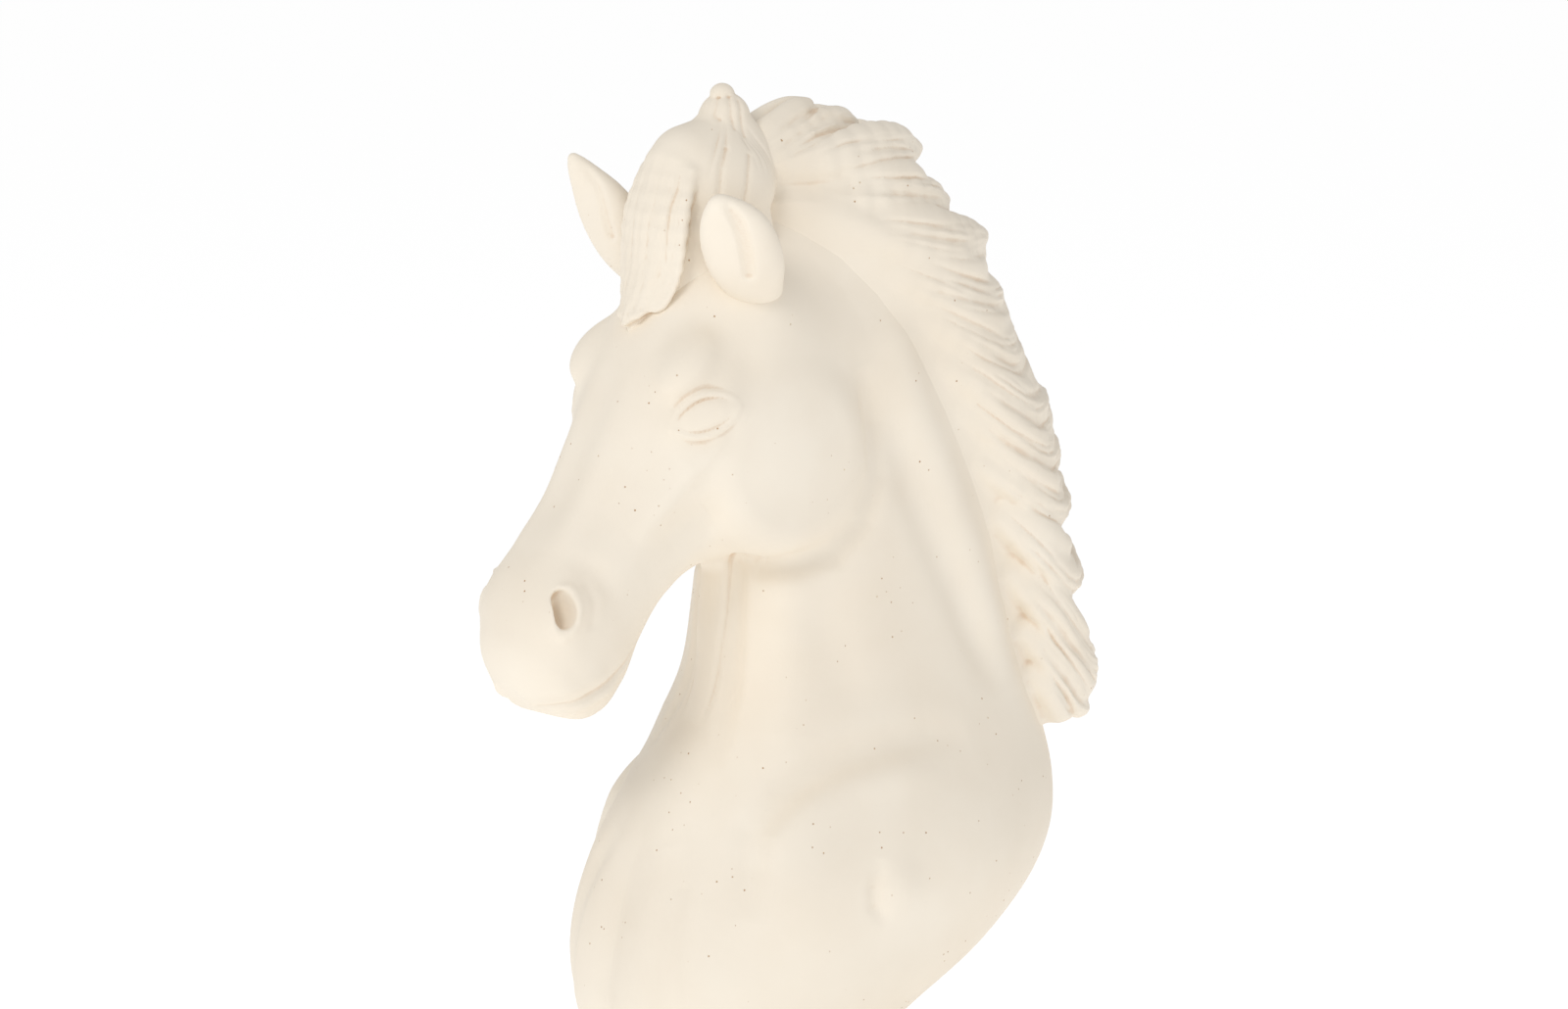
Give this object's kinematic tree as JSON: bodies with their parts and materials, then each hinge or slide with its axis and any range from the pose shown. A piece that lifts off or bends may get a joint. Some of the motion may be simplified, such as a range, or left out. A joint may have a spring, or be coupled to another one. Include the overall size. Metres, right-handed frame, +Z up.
{
  "type": "giant chess piece",
  "caption": "Giant lawn-game knight: a cast horse bust with flowing mane on a hollow turned pedestal that is weighted with sand.",
  "frame": {"origin": "on the floor under the pedestal's axis", "axes": "+Z up; the horse looks along -Y; its left side is +X"},
  "size_m": [0.344, 0.5221, 0.899],
  "materials": {
    "cast_cream": "matte cast resin with tiny pinholes",
    "laminate": "raw glass laminate",
    "board": "sealed plywood",
    "zinc_steel": "zinc plated",
    "black_rubber": "matte",
    "grey_plastic": "moulded",
    "cream_plastic": "moulded",
    "sand": "dry loose sand"
  },
  "bodies": {
    "piece": {"bust_shell_left": "cast_cream", "bust_shell_right": "cast_cream", "mane": "cast_cream", "forelock": "cast_cream", "ear_left": "cast_cream", "ear_right": "cast_cream", "seam_tape": "laminate", "bust_floor": "board", "captive_nut": "zinc_steel", "bust_gasket": "black_rubber", "locating_pins": "zinc_steel", "pedestal_shell": "cast_cream", "pedestal_floor": "board", "floor_screws": "zinc_steel", "tie_rod": "zinc_steel", "tie_rod_washer": "zinc_steel", "tie_rod_nut": "zinc_steel", "rod_sleeve": "grey_plastic", "sand_ballast": "sand", "plug_bush": "grey_plastic", "rubber_feet": "black_rubber", "foot_screws": "zinc_steel"},
    "plug_seal": {"fill_plug_seal": "black_rubber"},
    "plug": {"fill_plug": "cream_plastic"}
  },
  "joints": [
    {"name": "plug_draw", "type": "slide", "parent": "piece", "child": "plug_seal", "axis": [0, 1, 0], "range_m": [0, 0.021]},
    {"name": "plug_turn", "type": "hinge", "parent": "plug_seal", "child": "plug", "pos_m": [0, 0.18, 0.043], "axis": [0, 1, 0], "range_deg": [0, 2520]}
  ],
  "couplings": [
    {"joint": "plug_draw", "follows": "plug_turn", "m_per_rad": 0.00047746}
  ]
}
